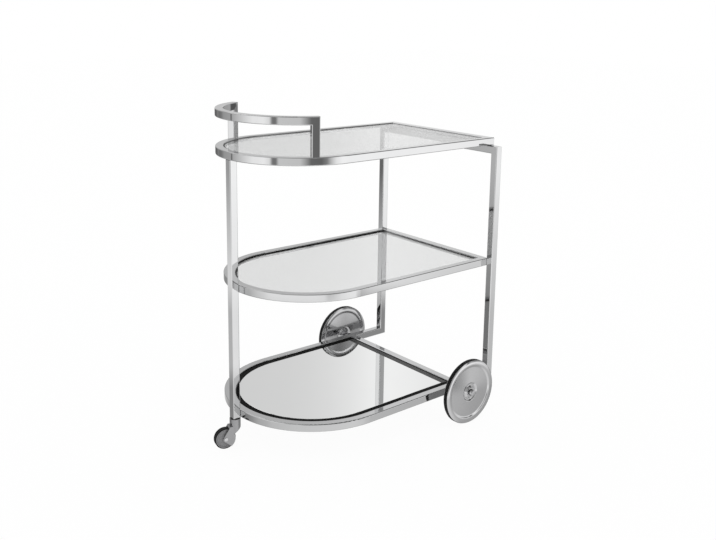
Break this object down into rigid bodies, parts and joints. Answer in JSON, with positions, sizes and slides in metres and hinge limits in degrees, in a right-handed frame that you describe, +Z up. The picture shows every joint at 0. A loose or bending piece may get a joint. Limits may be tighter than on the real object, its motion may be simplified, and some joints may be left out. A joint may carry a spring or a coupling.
{
  "type": "bar cart",
  "caption": "Bar cart: square chrome tube frame, round-ended glass shelves over a mirror shelf, arc handle, large side wheels and a swivel caster.",
  "frame": {"origin": "on the floor, under the centre of the cart's outer box", "axes": "+Z up; +X from the rounded end with the handle and the caster to the square end; +Y to the left-hand wheel"},
  "size_m": [0.7538, 0.581, 0.85],
  "materials": {
    "chrome_tube": "polished chrome plate",
    "chrome_hardware": "polished chrome plate",
    "wheel_chrome": "bright pressed and plated steel",
    "clear_glass": "clear, polished edge",
    "mirror": "silvered glass",
    "black_gloss": "black, glossy",
    "black_rubber": "black, satin",
    "black_tyre": "black rubber, smooth",
    "black_plastic": "black, satin",
    "grey_plastic": "mid grey, smooth"
  },
  "bodies": {
    "frame": {"top_rim": "chrome_tube", "top_rear_bar": "chrome_tube", "top_ledge": "chrome_tube", "top_glass": "clear_glass", "top_seal": "black_rubber", "middle_rim": "chrome_tube", "middle_rear_bar": "chrome_tube", "middle_ledge": "chrome_tube", "middle_glass": "clear_glass", "middle_seal": "black_rubber", "bottom_rim": "chrome_tube", "bottom_rear_bar": "chrome_tube", "bottom_ledge": "chrome_tube", "bottom_mirror": "mirror", "bottom_seal": "black_rubber", "bottom_border": "black_gloss", "front_leg": "chrome_tube", "left_rear_leg": "chrome_tube", "right_rear_leg": "chrome_tube", "rear_crossbar": "chrome_tube", "handle_rail": "chrome_tube", "left_handle_post": "chrome_tube", "right_handle_post": "chrome_tube", "left_axle": "chrome_hardware", "right_axle": "chrome_hardware", "left_spacer": "chrome_hardware", "right_spacer": "chrome_hardware", "left_inner_washer": "chrome_hardware", "right_inner_washer": "chrome_hardware", "left_outer_washer": "chrome_hardware", "right_outer_washer": "chrome_hardware", "left_cap_nut": "chrome_hardware", "right_cap_nut": "chrome_hardware", "caster_plug": "black_plastic"},
    "left_wheel": {"left_wheel_disc": "wheel_chrome", "left_tyre": "black_tyre", "left_hub_bush": "black_plastic"},
    "right_wheel": {"right_wheel_disc": "wheel_chrome", "right_tyre": "black_tyre", "right_hub_bush": "black_plastic"},
    "caster_swivel": {"caster_ring": "black_plastic", "caster_stem": "chrome_hardware", "caster_hood": "chrome_hardware", "caster_axle": "chrome_hardware"},
    "caster_wheel": {"caster_wheel_disc": "grey_plastic", "caster_tyre": "black_tyre", "caster_hub_bush": "black_plastic"}
  },
  "joints": [
    {"name": "left_wheel_spin", "type": "hinge", "parent": "frame", "child": "left_wheel", "pos_m": [0.24094, 0.271, 0.088], "axis": [0, 1, 0], "continuous": true},
    {"name": "right_wheel_spin", "type": "hinge", "parent": "frame", "child": "right_wheel", "pos_m": [0.24094, -0.271, 0.088], "axis": [0, 1, 0], "continuous": true},
    {"name": "caster_swivel_turn", "type": "hinge", "parent": "frame", "child": "caster_swivel", "pos_m": [-0.32206, 0, 0.077], "axis": [0, 0, 1], "continuous": true},
    {"name": "caster_wheel_spin", "type": "hinge", "parent": "caster_swivel", "child": "caster_wheel", "pos_m": [-0.34934, 0.0063, 0.027], "axis": [0.225, 0.9744, 0], "continuous": true}
  ]
}
